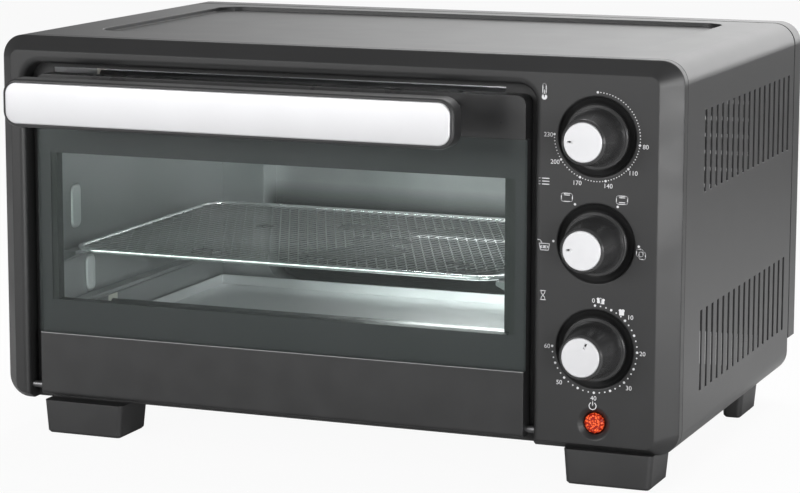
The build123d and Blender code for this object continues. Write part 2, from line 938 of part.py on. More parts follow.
def control_unit(outline, depth, control_z):
    """Closed housing with a bush through the chassis and a bore for its shaft."""
    with BuildPart() as unit:
        with BuildSketch(front(back_of_chassis + depth)):
            with Locations((control_x, control_z)):
                outline()
        extrude(amount=depth)
        with BuildSketch(front(back_of_chassis)):
            with Locations((control_x, control_z)):
                Circle(bush_radius)
        extrude(amount=sheet + bush_reach)
        with BuildSketch(front(seam_y - bush_reach)):
            with Locations((control_x, control_z)):
                Circle(control_shaft_radius + fit)
        extrude(amount=-bush_reach - sheet - control_shaft_depth - fit, mode=Mode.SUBTRACT)
    return unit.part


pieces["thermostat"] = control_unit(
    lambda: Circle(thermostat_radius), thermostat_depth, control_heights["temperature"]
)
pieces["function_switch"] = control_unit(
    lambda: RectangleRounded(switch_size, switch_size, housing_corner),
    switch_depth,
    control_heights["function"],
)
pieces["timer"] = control_unit(
    lambda: RectangleRounded(timer_size, timer_size, housing_corner),
    timer_depth,
    control_heights["timer"],
)

timer_back = back_of_chassis + timer_depth
with BuildPart() as timer_bell:
    with BuildSketch(front(timer_back + bell_depth)):
        with Locations((control_x, control_heights["timer"])):
            Circle(bell_radius)
    extrude(amount=bell_depth)
    with BuildSketch(front(timer_back + bell_depth - bell_wall)):
        with Locations((control_x, control_heights["timer"])):
            Circle(bell_radius - bell_wall)
            Circle(control_shaft_radius, mode=Mode.SUBTRACT)
    extrude(amount=bell_depth, mode=Mode.SUBTRACT)
pieces["timer_bell"] = timer_bell.part

with BuildPart() as control_nuts:
    with BuildSketch(front(seam_y)):
        with Locations(*[(control_x, z) for z in control_heights.values()]):
            RegularPolygon(nut_width / 2, screw_sides, major_radius=False)
            Circle(bush_radius + fit, mode=Mode.SUBTRACT)
    extrude(amount=nut_height)
pieces["control_nuts"] = control_nuts.part


# Knobs: each a hollow moulded grip, a bright cap with a pointer notch and a shaft

pointer_angles = {"temperature": 180.0, "function": 180.0, "timer": 67.5}
knob_back = dish_floor - knob_float
cap_seat = knob_front + cap_depth
shaft_front = cap_seat + knob_front_wall
flange_front = knob_back - knob_flange_height
skirt_tip = knob_tip_radius - knob_wall
skirt_root = knob_root_radius - knob_wall

for control_name, control_z in control_heights.items():
    with BuildPart() as knob:
        # Half section of the knob, distances from its axis against distances along it
        with BuildSketch(Plane((control_x, 0, control_z), x_dir=(0, 1, 0), z_dir=(1, 0, 0))):
            with BuildLine():
                Polyline(
                    (cap_seat, 0),
                    (cap_seat, cap_radius + 2 * fit),
                    (knob_front, cap_radius + 2 * fit),
                    (knob_front, knob_tip_radius - knob_edge),
                    (knob_front + knob_edge, knob_tip_radius),
                    (flange_front, knob_root_radius),
                    (flange_front, knob_flange_radius - knob_flange_edge),
                    (flange_front + knob_flange_edge, knob_flange_radius),
                    (knob_back, knob_flange_radius),
                    (knob_back, skirt_root),
                    (shaft_front, skirt_tip),
                    (shaft_front, knob_hub_radius),
                    (knob_back, knob_hub_radius),
                    (knob_back, control_shaft_radius + fit),
                    (shaft_front - fit, control_shaft_radius + fit),
                    (shaft_front - fit, 0),
                    close=True,
                )
            make_face()
        revolve(axis=Axis((control_x, 0, control_z), (0, 1, 0)))
    pieces[f"{control_name}_knob"] = knob.part

    with BuildPart() as cap:
        with BuildSketch(front(cap_seat)):
            with Locations((control_x, control_z)):
                Circle(cap_radius)
        extrude(amount=cap_depth)
        chamfer(cap.faces().sort_by(Axis.Y)[0].edges(), cap_edge)
        with BuildSketch(front(knob_front)):
            with Locations((control_x, control_z)):
                with PolarLocations(cap_notch_radius, 1, start_angle=pointer_angles[control_name]):
                    Rectangle(cap_notch_length, cap_notch_width)
        extrude(amount=-cap_depth / 2, mode=Mode.SUBTRACT)
    pieces[f"{control_name}_cap"] = cap.part

    with BuildPart() as shaft:
        with BuildSketch(front(seam_y + sheet + control_shaft_depth)):
            with Locations((control_x, control_z)):
                Circle(control_shaft_radius)
        extrude(amount=seam_y + sheet + control_shaft_depth - shaft_front)
    pieces[f"{control_name}_shaft"] = shaft.part


# Indicator lamp: a faceted lens in the funnel and the lamp body behind it

lens_back = face_y + panel_wall
with BuildPart() as lamp_lens:
    with BuildSketch(front(lens_back)):
        with Locations((control_x, lamp_z)):
            RegularPolygon(lamp_radius, lamp_lens_facets)
    extrude(amount=lamp_lens_height)
    chamfer(lamp_lens.faces().sort_by(Axis.Y)[0].edges(), lamp_lens_chamfer)
pieces["lamp_lens"] = lamp_lens.part

with BuildPart() as lamp_body:
    with BuildSketch(front(back_of_chassis + lamp_body_length)):
        with Locations((control_x, lamp_z)):
            Circle(lamp_body_radius)
    extrude(amount=back_of_chassis + lamp_body_length - lens_back)
pieces["lamp_body"] = lamp_body.part


# Door: two rails, the glass and a pressed inner frame

with BuildPart() as door_top_rail:
    with BuildSketch(front(door_back)):
        panel(door_left, door_right, glass_top, door_top)
    extrude(amount=door_thickness)
    top_corners = door_top_rail.edges().filter_by(Axis.Y).group_by(Axis.Z)[-1]
    fillet(top_corners, door_corner)
    with BuildSketch(front(door_back)):
        panel(
            door_left + rail_wall,
            door_right - rail_wall,
            glass_top + rail_wall,
            door_top - rail_wall,
            rail_wall,
        )
        with Locations(*post_places):
            Circle(handle_screw_head + rail_wall / 2, mode=Mode.SUBTRACT)
    extrude(amount=door_thickness - rail_wall, mode=Mode.SUBTRACT)
    with BuildSketch(front(door_back)):
        with Locations(*post_places):
            Circle(handle_screw_head + 2 * fit)
    extrude(amount=handle_screw_head_height + handle_screw_recess, mode=Mode.SUBTRACT)
    with BuildSketch(front(door_back)):
        with Locations(*post_places):
            Circle(handle_screw_radius + fit)
    extrude(amount=door_thickness, mode=Mode.SUBTRACT)
pieces["door_top_rail"] = door_top_rail.part

with BuildPart() as door_bottom_rail:
    with BuildSketch(front(door_back)):
        panel(door_left, door_right, door_bottom, glass_bottom)
    extrude(amount=door_thickness)
    lower_edges = door_bottom_rail.edges().filter_by(Axis.X).group_by(Axis.Z)[0]
    fillet(lower_edges.sort_by(Axis.Y)[-1], lower_edge_round)
    fillet(
        door_bottom_rail.edges().filter_by(Axis.X).group_by(Axis.Z)[0].sort_by(Axis.Y)[0],
        lower_edge_round / 2,
    )
    with BuildSketch(front(door_back)):
        panel(
            door_left + rail_wall,
            door_right - rail_wall,
            door_bottom + hinge_block_height,
            glass_bottom - rail_wall,
            rail_wall,
        )
    extrude(amount=door_thickness - rail_wall, mode=Mode.SUBTRACT)
    with BuildSketch(side(door_left)):
        with Locations((hinge_y, hinge_z)):
            Circle(pin_radius + fit)
    extrude(amount=pin_length_in_rail, mode=Mode.SUBTRACT)
    with BuildSketch(side(door_right)):
        with Locations((hinge_y, hinge_z)):
            Circle(pin_radius + fit)
    extrude(amount=-pin_length_in_rail, mode=Mode.SUBTRACT)
pieces["door_bottom_rail"] = door_bottom_rail.part

with BuildPart() as door_glass:
    with BuildSketch(front(face_y + glass_thickness)):
        panel(door_left, door_right, glass_bottom, glass_top)
    extrude(amount=glass_thickness)
pieces["door_glass"] = door_glass.part

window_left = door_left + inner_frame_side
window_right = door_right - inner_frame_side
window_bottom = glass_bottom + inner_frame_end
window_top = glass_top - inner_frame_end
with BuildPart() as door_inner_frame:
    with BuildSketch(front(door_back)):
        panel(door_left, door_right, glass_bottom, glass_top)
        panel(window_left, window_right, window_bottom, window_top, 0, Mode.SUBTRACT)
    extrude(amount=door_thickness - glass_thickness)
    with BuildSketch(front(door_back)):
        panel(
            door_left + inner_frame_wall,
            door_right - inner_frame_wall,
            glass_bottom + inner_frame_wall,
            glass_top - inner_frame_wall,
        )
        panel(
            window_left - inner_frame_wall,
            window_right + inner_frame_wall,
            window_bottom - inner_frame_wall,
            window_top + inner_frame_wall,
            0,
            Mode.SUBTRACT,
        )
    extrude(amount=door_thickness - glass_thickness - inner_frame_wall, mode=Mode.SUBTRACT)
pieces["door_inner_frame"] = door_inner_frame.part

with BuildPart() as hinge_pins:
    with BuildSketch(side(opening_left - pin_length_in_post)):
        with Locations((hinge_y, hinge_z)):
            Circle(pin_radius)
    extrude(amount=pin_length_in_post + door_gap_left + pin_length_in_rail)
    with BuildSketch(side(opening_right + pin_length_in_panel)):
        with Locations((hinge_y, hinge_z)):
            Circle(pin_radius)
    extrude(amount=-(pin_length_in_panel + door_gap_right + pin_length_in_rail))
pieces["hinge_pins"] = hinge_pins.part


# Handle: a flat bar with a bright insert, on two blocks screwed through the top rail

bar_front = handle_back - handle_thickness
bar_low = handle_mid_z - handle_height / 2
bar_high = handle_mid_z + handle_height / 2
with BuildPart() as handle_bar:
    with BuildSketch(front(handle_back)):
        panel(handle_left, handle_right, bar_low, bar_high, handle_corner)
    extrude(amount=handle_thickness)
    fillet(handle_bar.faces().sort_by(Axis.Y)[0].edges(), handle_round)
    chamfer(handle_bar.faces().sort_by(Axis.Y)[-1].edges(), handle_round / 2)
    with BuildSketch(front(bar_front)):
        panel(
            handle_left + insert_margin,
            handle_right - insert_margin,
            bar_low + insert_margin,
            bar_high - insert_margin,
            handle_corner - insert_margin,
        )
    extrude(amount=-insert_depth, mode=Mode.SUBTRACT)
    with BuildSketch(front(handle_back)):
        with Locations(*post_places):
            Circle(handle_screw_radius + fit)
    extrude(amount=handle_screw_bite + fit, mode=Mode.SUBTRACT)
pieces["handle_bar"] = handle_bar.part

with BuildPart() as handle_insert:
    with BuildSketch(front(bar_front + insert_depth)):
        panel(
            handle_left + insert_margin + 2 * fit,
            handle_right - insert_margin - 2 * fit,
            bar_low + insert_margin + 2 * fit,
            bar_high - insert_margin - 2 * fit,
            handle_corner - insert_margin - 2 * fit,
        )
    extrude(amount=insert_depth + insert_proud)
    fillet(handle_insert.faces().sort_by(Axis.Y)[0].edges(), insert_round)
pieces["handle_insert"] = handle_insert.part

with BuildPart() as handle_posts:
    for post_x, post_z in post_places:
        with BuildSketch(front(face_y)):
            with Locations((post_x, post_z)):
                Rectangle(post_taper_width, post_taper_height)
        with BuildSketch(front(handle_back)):
            with Locations((post_x, post_z)):
                Rectangle(post_block_width, post_block_height)
        loft(ruled=True)
    long_edges = handle_posts.edges().filter_by(lambda e: e.length > post_block_width)
    chamfer(long_edges, post_corner)
    with BuildSketch(front(face_y)):
        with Locations(*post_places):
            Circle(handle_screw_radius + fit)
    extrude(amount=face_y - handle_back, mode=Mode.SUBTRACT)
pieces["handle_posts"] = handle_posts.part

head_seat = door_back - handle_screw_head_height - handle_screw_recess
with BuildPart() as handle_screws:
    with BuildSketch(front(head_seat)):
        with Locations(*post_places):
            Circle(handle_screw_radius)
    extrude(amount=head_seat - handle_back + handle_screw_bite)
    with BuildSketch(front(head_seat + handle_screw_head_height)):
        with Locations(*post_places):
            RegularPolygon(handle_screw_head, screw_sides)
    extrude(amount=handle_screw_head_height)
pieces["handle_screws"] = handle_screws.part


# Feet: a broad pair in front, a narrow pair behind, each with a recess for its screw

def foot(low_x, high_x, low_y, high_y, screw_place):
    """Tapered block under the body with a screw hole from below."""
    with BuildPart() as block:
        with BuildSketch(level(base_z)):
            panel(low_x, high_x, low_y, high_y)
        with BuildSketch(level(0)):
            panel(low_x + foot_taper, high_x - foot_taper, low_y + foot_taper / 3, high_y - foot_taper)
        loft(ruled=True)
        upright_edges = block.edges().filter_by(lambda e: abs(e.center().Z - base_z / 2) < fit)
        fillet(upright_edges, foot_corner)
        chamfer(block.faces().sort_by(Axis.Z)[0].edges(), foot_edge)
        with BuildSketch(level(0)):
            with Locations(screw_place):
                Circle(foot_screw_recess_radius)
        extrude(amount=foot_screw_recess, mode=Mode.SUBTRACT)
        with BuildSketch(level(0)):
            with Locations(screw_place):
                Circle(screw_radius + fit)
        extrude(amount=base_z, mode=Mode.SUBTRACT)
    return block.part


for (foot_name, span), screw_place in zip(foot_spans.items(), foot_screw_places):
    pieces[foot_name] = foot(*span, screw_place)

with BuildPart() as foot_screws:
    with BuildSketch(level(foot_screw_recess)):
        with Locations(*foot_screw_places):
            Circle(screw_radius)
    extrude(amount=base_z + sheet + foot_screw_bite - foot_screw_recess)
    with BuildSketch(level(foot_screw_recess - screw_head_height)):
        with Locations(*foot_screw_places):
            RegularPolygon(screw_head, screw_sides)
    extrude(amount=screw_head_height)
pieces["foot_screws"] = foot_screws.part


# Screws through the rear cover and through the chassis

with BuildPart() as rear_cover_screws:
    cover_screw_seat = cover_back - boss_counterbore_depth
    with BuildSketch(front(cover_screw_seat)):
        with Locations(*cover_screw_places):
            Circle(screw_radius)
    extrude(amount=cover_screw_length)
    with BuildSketch(front(cover_screw_seat + screw_head_height)):
        with Locations(*cover_screw_places):
            RegularPolygon(screw_head, screw_sides)
    extrude(amount=screw_head_height)
pieces["rear_cover_screws"] = rear_cover_screws.part

with BuildPart() as frame_screws:
    with BuildSketch(front(back_of_chassis)):
        with Locations(*frame_screw_places):
            Circle(screw_radius)
    extrude(amount=sheet + frame_screw_length)
    with BuildSketch(front(back_of_chassis + screw_head_height)):
        with Locations(*frame_screw_places):
            RegularPolygon(screw_head, screw_sides)
    extrude(amount=screw_head_height)
pieces["frame_screws"] = frame_screws.part


# One file for each piece

os.makedirs("parts", exist_ok=True)
for piece_name, piece in pieces.items():
    piece.label = piece_name
    export_step(piece, f"parts/{piece_name}.step")
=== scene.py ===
from math import cos, pi, radians, sin

import bmesh
import bpy
from mathutils import Matrix, Vector


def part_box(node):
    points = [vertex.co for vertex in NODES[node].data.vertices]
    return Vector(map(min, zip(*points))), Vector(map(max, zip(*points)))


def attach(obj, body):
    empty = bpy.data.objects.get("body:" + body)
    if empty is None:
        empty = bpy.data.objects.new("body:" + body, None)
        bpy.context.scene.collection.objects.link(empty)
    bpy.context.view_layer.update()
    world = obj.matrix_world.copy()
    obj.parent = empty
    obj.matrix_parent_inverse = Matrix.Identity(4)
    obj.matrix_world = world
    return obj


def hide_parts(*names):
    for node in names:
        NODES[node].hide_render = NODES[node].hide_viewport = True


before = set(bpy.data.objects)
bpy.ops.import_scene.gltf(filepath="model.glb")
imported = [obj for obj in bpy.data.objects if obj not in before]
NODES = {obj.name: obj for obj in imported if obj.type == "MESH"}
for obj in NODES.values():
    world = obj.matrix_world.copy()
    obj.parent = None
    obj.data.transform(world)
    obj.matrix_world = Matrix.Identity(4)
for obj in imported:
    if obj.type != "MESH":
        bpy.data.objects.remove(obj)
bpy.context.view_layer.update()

MM = 0.001


# Places read from the frame

FRAME_LOW, FRAME_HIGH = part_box("front_frame")
FACE_Y = FRAME_LOW.y
SEAM_Y = FRAME_HIGH.y
CONTROL = {name: sum(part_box(f"{name}_cap"), Vector()) / 2 for name in ("temperature", "function", "timer")}
LAMP = sum(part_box("lamp_lens"), Vector()) / 2
GLASS_LOW, GLASS_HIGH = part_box("door_glass")
INSERT_LOW, INSERT_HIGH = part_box("handle_insert")
BACK_LOW, BACK_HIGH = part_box("cavity_back")
TRAY_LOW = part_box("tray_rim")[0]
CEILING_LOW, CEILING_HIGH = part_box("cavity_ceiling")


# Sockets of a Mix node, which have numbers because their names repeat

MIX_FACTOR = 0
VALUE_A = 2
VALUE_B = 3
VALUE_RESULT = 0
COLOUR_A = 6
COLOUR_B = 7
COLOUR_RESULT = 2


# Node helpers for materials


def new_material(name):
    material = bpy.data.materials.new(name)
    material.use_nodes = True
    tree = material.node_tree
    shader = tree.nodes["Principled BSDF"]
    return material, tree, shader


def add(tree, kind, **settings):
    """A node with its inputs and properties set by name."""
    node = tree.nodes.new(kind)
    for key, value in settings.items():
        if key in node.inputs:
            node.inputs[key].default_value = value
        else:
            setattr(node, key, value)
    return node


def object_coordinates(tree):
    return add(tree, "ShaderNodeTexCoord").outputs["Object"]


def noise(tree, scale, detail=3.0, roughness=0.5, stretch=None):
    """Noise in millimetre scale: scale is the number of features in a millimetre."""
    texture = add(tree, "ShaderNodeTexNoise")
    texture.inputs["Scale"].default_value = scale / MM
    texture.inputs["Detail"].default_value = detail
    texture.inputs["Roughness"].default_value = roughness
    place = object_coordinates(tree)
    if stretch:
        mapping = add(tree, "ShaderNodeMapping")
        mapping.inputs["Scale"].default_value = stretch
        tree.links.new(place, mapping.inputs["Vector"])
        place = mapping.outputs["Vector"]
    tree.links.new(place, texture.inputs["Vector"])
    return texture.outputs["Fac"]


def math_node(tree, operation, *values):
    """A math node fed by numbers or by other nodes' outputs."""
    node = add(tree, "ShaderNodeMath", operation=operation)
    for socket, value in zip(node.inputs, values):
        if isinstance(value, (int, float)):
            socket.default_value = value
        else:
            tree.links.new(value, socket)
    return node.outputs[0]


def ramp(tree, source, low, high, from_low=0.3, from_high=0.7):
    """Maps a value range to two numbers."""
    node = add(tree, "ShaderNodeMapRange")
    node.inputs["From Min"].default_value = from_low
    node.inputs["From Max"].default_value = from_high
    node.inputs["To Min"].default_value = low
    node.inputs["To Max"].default_value = high
    tree.links.new(source, node.inputs["Value"])
    return node.outputs["Result"]


def two_tone(tree, source, dark, light, from_low=0.35, from_high=0.65):
    node = add(tree, "ShaderNodeValToRGB")
    node.color_ramp.elements[0].position = from_low
    node.color_ramp.elements[0].color = (*dark, 1)
    node.color_ramp.elements[1].position = from_high
    node.color_ramp.elements[1].color = (*light, 1)
    tree.links.new(source, node.inputs["Fac"])
    return node.outputs["Color"]


def soft_edges(tree, shader, radius, height=None, bump=0.0, distance=0.0):
    """Rounds the shading of sharp edges, with a bump over it where one is given."""
    bevel = add(tree, "ShaderNodeBevel", samples=4)
    bevel.inputs["Radius"].default_value = radius * MM
    normal = bevel.outputs["Normal"]
    if height is not None:
        node = add(tree, "ShaderNodeBump")
        node.inputs["Strength"].default_value = bump
        node.inputs["Distance"].default_value = distance * MM
        tree.links.new(height, node.inputs["Height"])
        tree.links.new(normal, node.inputs["Normal"])
        normal = node.outputs["Normal"]
    tree.links.new(normal, shader.inputs["Normal"])


def surface(name, dark, light, rough, metallic=0.0, grain=1.2, bump=0.15, depth=0.05,
            edge=0.5, stretch=None, coat=0.0, specular=0.5):
    """A solid finish: two close tones, uneven gloss, a fine bump and soft edges."""
    material, tree, shader = new_material(name)
    shader.inputs["Metallic"].default_value = metallic
    shader.inputs["Coat Weight"].default_value = coat
    shader.inputs["Coat Roughness"].default_value = 0.12
    shader.inputs["Specular IOR Level"].default_value = specular
    fine = noise(tree, grain, 4.0, 0.6, stretch)
    broad = noise(tree, grain / 40, 2.0, 0.5)
    tree.links.new(two_tone(tree, broad, dark, light), shader.inputs["Base Color"])
    tree.links.new(ramp(tree, broad, rough[0], rough[1]), shader.inputs["Roughness"])
    soft_edges(tree, shader, edge, fine, bump, depth)
    return material


REFLECTION_SHARE = 0.4


def glass_material():
    """Thin tinted pane: mostly clear, with a reflection that grows at a glancing angle."""
    material, tree, shader = new_material("door_glass")
    tree.nodes.remove(shader)
    output = tree.nodes["Material Output"]
    clear = add(tree, "ShaderNodeBsdfTransparent")
    gloss = add(tree, "ShaderNodeBsdfGlossy")
    gloss.inputs["Color"].default_value = (0.95, 1.0, 0.99, 1)
    gloss.inputs["Roughness"].default_value = 0.03
    tint = two_tone(tree, noise(tree, 0.02, 2.0), (0.87, 0.92, 0.90), (0.90, 0.94, 0.925))
    tree.links.new(tint, clear.inputs["Color"])
    fresnel = add(tree, "ShaderNodeFresnel")
    fresnel.inputs["IOR"].default_value = 1.5
    share = math_node(tree, "MULTIPLY", fresnel.outputs["Fac"], REFLECTION_SHARE)
    mix = add(tree, "ShaderNodeMixShader")
    tree.links.new(share, mix.inputs["Fac"])
    tree.links.new(clear.outputs["BSDF"], mix.inputs[1])
    tree.links.new(gloss.outputs["BSDF"], mix.inputs[2])
    tree.links.new(mix.outputs["Shader"], output.inputs["Surface"])
    return material


def faceted(name, deep, bright, strength):
    """Clear coloured lens with small facets that catch the light behind it."""
    material, tree, shader = new_material(name)
    cells = add(tree, "ShaderNodeTexVoronoi")
    cells.inputs["Scale"].default_value = 0.85 / MM
    tree.links.new(object_coordinates(tree), cells.inputs["Vector"])
    colour = two_tone(tree, cells.outputs["Distance"], bright, deep, 0.15, 0.6)
    tree.links.new(colour, shader.inputs["Base Color"])
    tree.links.new(colour, shader.inputs["Emission Color"])
    shader.inputs["Emission Strength"].default_value = strength
    shader.inputs["Roughness"].default_value = 0.1
    soft_edges(tree, shader, 0.2, cells.outputs["Distance"], 0.6, 0.4)
    return material


def metal_with_painted_highlight(name, low_z, high_z, low, high):
    """Smooth bright metal with a painted highlight: paler toward its upper edge, standing in for light on
    its curved face.
    """
    material, tree, shader = new_material(name)
    split = add(tree, "ShaderNodeSeparateXYZ")
    tree.links.new(object_coordinates(tree), split.inputs["Vector"])
    # Painted highlight: the colour runs from the low tone to the high tone up the face.
    colour = add(tree, "ShaderNodeValToRGB")
    colour.color_ramp.elements[0].color = (*low, 1)
    colour.color_ramp.elements[1].color = (*high, 1)
    tree.links.new(ramp(tree, split.outputs["Z"], 0, 1, low_z, high_z), colour.inputs["Fac"])
    tree.links.new(colour.outputs["Color"], shader.inputs["Base Color"])
    tree.links.new(ramp(tree, noise(tree, 0.05, 2.0), 0.3, 0.36), shader.inputs["Roughness"])
    shader.inputs["Metallic"].default_value = 0.35
    soft_edges(tree, shader, 0.6)
    return material


DISH_ROOT = 17.5 * MM
DISH_RIM = 22.6 * MM
DISH_HOLLOW = 2.4
FUNNEL_ROOT = 6.0 * MM
FUNNEL_RIM = 9.0 * MM
SEAM_SHADE_START = 1.4 * MM
SEAM_SHADE_END = 0.8 * MM
GRAIN_HEIGHT = 0.004


def distance_from(tree, split, centre):
    """Distance in the front's plane from a point."""
    across = math_node(tree, "SUBTRACT", split.outputs["X"], centre.x)
    up = math_node(tree, "SUBTRACT", split.outputs["Z"], centre.z)
    across_squared = math_node(tree, "POWER", across, 2.0)
    up_squared = math_node(tree, "POWER", up, 2.0)
    return math_node(tree, "SQRT", math_node(tree, "ADD", across_squared, up_squared))


def dished_panel(name):
    """The front moulding: fine matt grain, with painted shade in the dishes, the lamp's funnel and along the
    rear edge at the seam.
    """
    material, tree, shader = new_material(name)
    split = add(tree, "ShaderNodeSeparateXYZ")
    tree.links.new(object_coordinates(tree), split.inputs["Vector"])
    nearest = 1.0
    for centre in CONTROL.values():
        nearest = math_node(tree, "MINIMUM", distance_from(tree, split, centre), nearest)
    rise = add(tree, "ShaderNodeMapRange", interpolation_type="SMOOTHSTEP")
    rise.inputs["From Min"].default_value = DISH_ROOT
    rise.inputs["From Max"].default_value = DISH_RIM
    tree.links.new(nearest, rise.inputs["Value"])
    funnel = ramp(tree, distance_from(tree, split, LAMP), 0.0, 1.0, FUNNEL_ROOT, FUNNEL_RIM)
    shade_start = SEAM_Y - SEAM_SHADE_START
    shade_end = SEAM_Y - SEAM_SHADE_END
    at_seam = ramp(tree, split.outputs["Y"], 1.0, 0.0, shade_start, shade_end)
    grain = noise(tree, 2.5, 4.0, 0.6)
    broad = noise(tree, 0.05, 2.0)
    height = math_node(tree, "ADD", rise.outputs["Result"], math_node(tree, "MULTIPLY", grain, GRAIN_HEIGHT))
    # Painted shade: the base colour darkens in the dishes, in the lamp's funnel and along the rear edge at
    # the seam.
    hollows = math_node(tree, "MULTIPLY", rise.outputs["Result"], funnel)
    open_face = math_node(tree, "MULTIPLY", hollows, at_seam)
    shade = two_tone(tree, open_face, grey(0.007), grey(0.024), 0.0, 0.9)
    tree.links.new(shade, shader.inputs["Base Color"])
    tree.links.new(ramp(tree, broad, 0.34, 0.42), shader.inputs["Roughness"])
    soft_edges(tree, shader, 1.2, height, 1.0, DISH_HOLLOW)
    return material


# Reach of the painted tray shadow: margins inside the pressed hollow, and below and above the tray's level.
HOLLOW_START = 3.0 * MM
HOLLOW_END = 1.5 * MM
SHADE_BELOW = 4.0 * MM
SHADE_ABOVE = 12.0 * MM


def pressed_back():
    """Back sheet of the cavity: dull shine, with the mesh tray's shadow painted dark into the pressed hollow
    under the tray.
    """
    material, tree, shader = new_material("back_sheet")
    split = add(tree, "ShaderNodeSeparateXYZ")
    tree.links.new(object_coordinates(tree), split.inputs["Vector"])
    hollow = ramp(tree, split.outputs["Y"], 0.0, 1.0, BACK_LOW.y + HOLLOW_START, BACK_HIGH.y - HOLLOW_END)
    below = ramp(tree, split.outputs["Z"], 1.0, 0.0, TRAY_LOW.z - SHADE_BELOW, TRAY_LOW.z + SHADE_ABOVE)
    broad = noise(tree, 0.02, 3.0)
    sheet = two_tone(tree, broad, grey(0.36), grey(0.44))
    # Painted shadow: the dark tone laid into the hollow below the mesh tray.
    dark = two_tone(tree, broad, grey(0.035), grey(0.05))
    mix = add(tree, "ShaderNodeMix", data_type="RGBA")
    tree.links.new(math_node(tree, "MULTIPLY", hollow, below), mix.inputs["Factor"])
    tree.links.new(sheet, mix.inputs[COLOUR_A])
    tree.links.new(dark, mix.inputs[COLOUR_B])
    tree.links.new(mix.outputs[COLOUR_RESULT], shader.inputs["Base Color"])
    tree.links.new(ramp(tree, broad, 0.3, 0.4), shader.inputs["Roughness"])
    shader.inputs["Metallic"].default_value = 0.75
    soft_edges(tree, shader, 1.0)
    return material


def grey(value):
    return (value, value, value * 1.02)


FINISH = {
    "paint": surface(
        "textured_paint", grey(0.028), grey(0.033), (0.34, 0.36),
        grain=1.6, bump=0.12, depth=0.03, edge=0.8,
    ),
    "moulding": surface(
        "matt_moulding", grey(0.024), grey(0.028), (0.36, 0.44),
        grain=2.5, bump=0.1, depth=0.02, edge=0.9,
    ),
    # Front moulding with painted shade in its dishes, lamp funnel and rear seam.
    "panel": dished_panel("front_moulding"),
    "gloss": surface(
        "satin_moulding", grey(0.024), grey(0.028), (0.26, 0.32),
        grain=2.0, bump=0.03, depth=0.02, edge=0.7,
    ),
    "knob": surface(
        "knob_moulding", grey(0.034), grey(0.040), (0.22, 0.24),
        grain=2.5, bump=0.0, depth=0.02, edge=0.7,
    ),
    "foot": surface(
        "foot_moulding", grey(0.030), grey(0.036), (0.46, 0.54),
        grain=2.0, bump=0.2, depth=0.03, edge=1.0,
    ),
    "liner": surface(
        "aluminised_sheet", grey(0.30), grey(0.36), (0.30, 0.40), 0.75,
        grain=0.3, bump=0.0, depth=0.04, edge=0.4,
    ),
    # Back sheet with the mesh tray's shadow painted into the hollow below it.
    "back": pressed_back(),
    "crumb": surface(
        "crumb_tray_sheet", grey(0.66), grey(0.78), (0.28, 0.36), 0.6,
        grain=0.3, bump=0.0, depth=0.04, edge=0.8,
    ),
    "steel": surface(
        "plated_steel", grey(0.4), grey(0.46), (0.34, 0.42), 1.0,
        grain=1.5, bump=0.08, depth=0.03, edge=0.3,
    ),
    "chassis": surface(
        "chassis_paint", grey(0.022), grey(0.03), (0.5, 0.6),
        grain=1.5, bump=0.1, depth=0.03, edge=0.3,
    ),
    "bright": surface(
        "bright_wire", grey(0.88), grey(0.93), (0.2, 0.28), 0.8,
        grain=1.5, bump=0.02, depth=0.02, edge=0.2,
    ),
    "cap": surface(
        "spun_cap", grey(0.72), grey(0.78), (0.3, 0.36), 0.6,
        grain=0.4, bump=0.0, depth=0.02, edge=0.3,
    ),
    # Handle insert: painted highlight, paler toward its upper edge.
    "insert": metal_with_painted_highlight("handle_metal", INSERT_LOW.z, INSERT_HIGH.z, grey(0.58), grey(0.86)),
    "element": surface(
        "element_tube", grey(0.14), grey(0.2), (0.4, 0.5), 0.8,
        grain=1.0, bump=0.2, depth=0.05, edge=0.2,
    ),
    "ceramic": surface(
        "ceramic", (0.72, 0.7, 0.64), (0.8, 0.78, 0.73), (0.5, 0.6),
        grain=1.5, bump=0.2, depth=0.04, edge=0.4,
    ),
    "resin": surface(
        "dark_resin", grey(0.03), grey(0.05), (0.4, 0.5),
        grain=1.5, bump=0.2, depth=0.04, edge=0.4,
    ),
    "iron": surface(
        "motor_iron", grey(0.1), grey(0.16), (0.4, 0.55), 0.7,
        grain=1.5, bump=0.3, depth=0.06, edge=0.3, stretch=(20.0, 1.0, 1.0),
    ),
    "net": surface(
        "coated_net", grey(0.20), grey(0.27), (0.26, 0.34), 0.6,
        grain=0.5, bump=0.0, depth=0.04, edge=0.1,
    ),
    "print": surface(
        "panel_print", grey(0.7), grey(0.76), (0.5, 0.6),
        grain=3.0, bump=0.0, depth=0.01, edge=0.05,
    ),
    "pin": surface(
        "dark_pin", grey(0.16), grey(0.2), (0.35, 0.45), 0.9,
        grain=1.5, bump=0.05, depth=0.02, edge=0.2,
    ),
    # Painted shade for the floor of the knob caps' pointer notches.
    "mark": surface(
        "notch_painted_shade", grey(0.012), grey(0.016), (0.4, 0.5),
        grain=1.0, bump=0.0, depth=0.01, edge=0.05,
    ),
    # Painted highlight for the light strip where the glass meets the lower rail.
    "seam": surface(
        "glass_seam_highlight", grey(0.30), grey(0.34), (0.3, 0.4),
        grain=1.0, bump=0.0, depth=0.01, edge=0.05,
    ),
    "border": surface(
        "glass_border", (0.024, 0.026, 0.028), (0.028, 0.030, 0.032), (0.4, 0.5),
        grain=0.2, bump=0.0, depth=0.01, edge=0.1,
    ),
    "glass": glass_material(),
    "lamp": faceted("lamp_glow", (0.22, 0.004, 0.0), (1.0, 0.14, 0.035), 0.5),
}

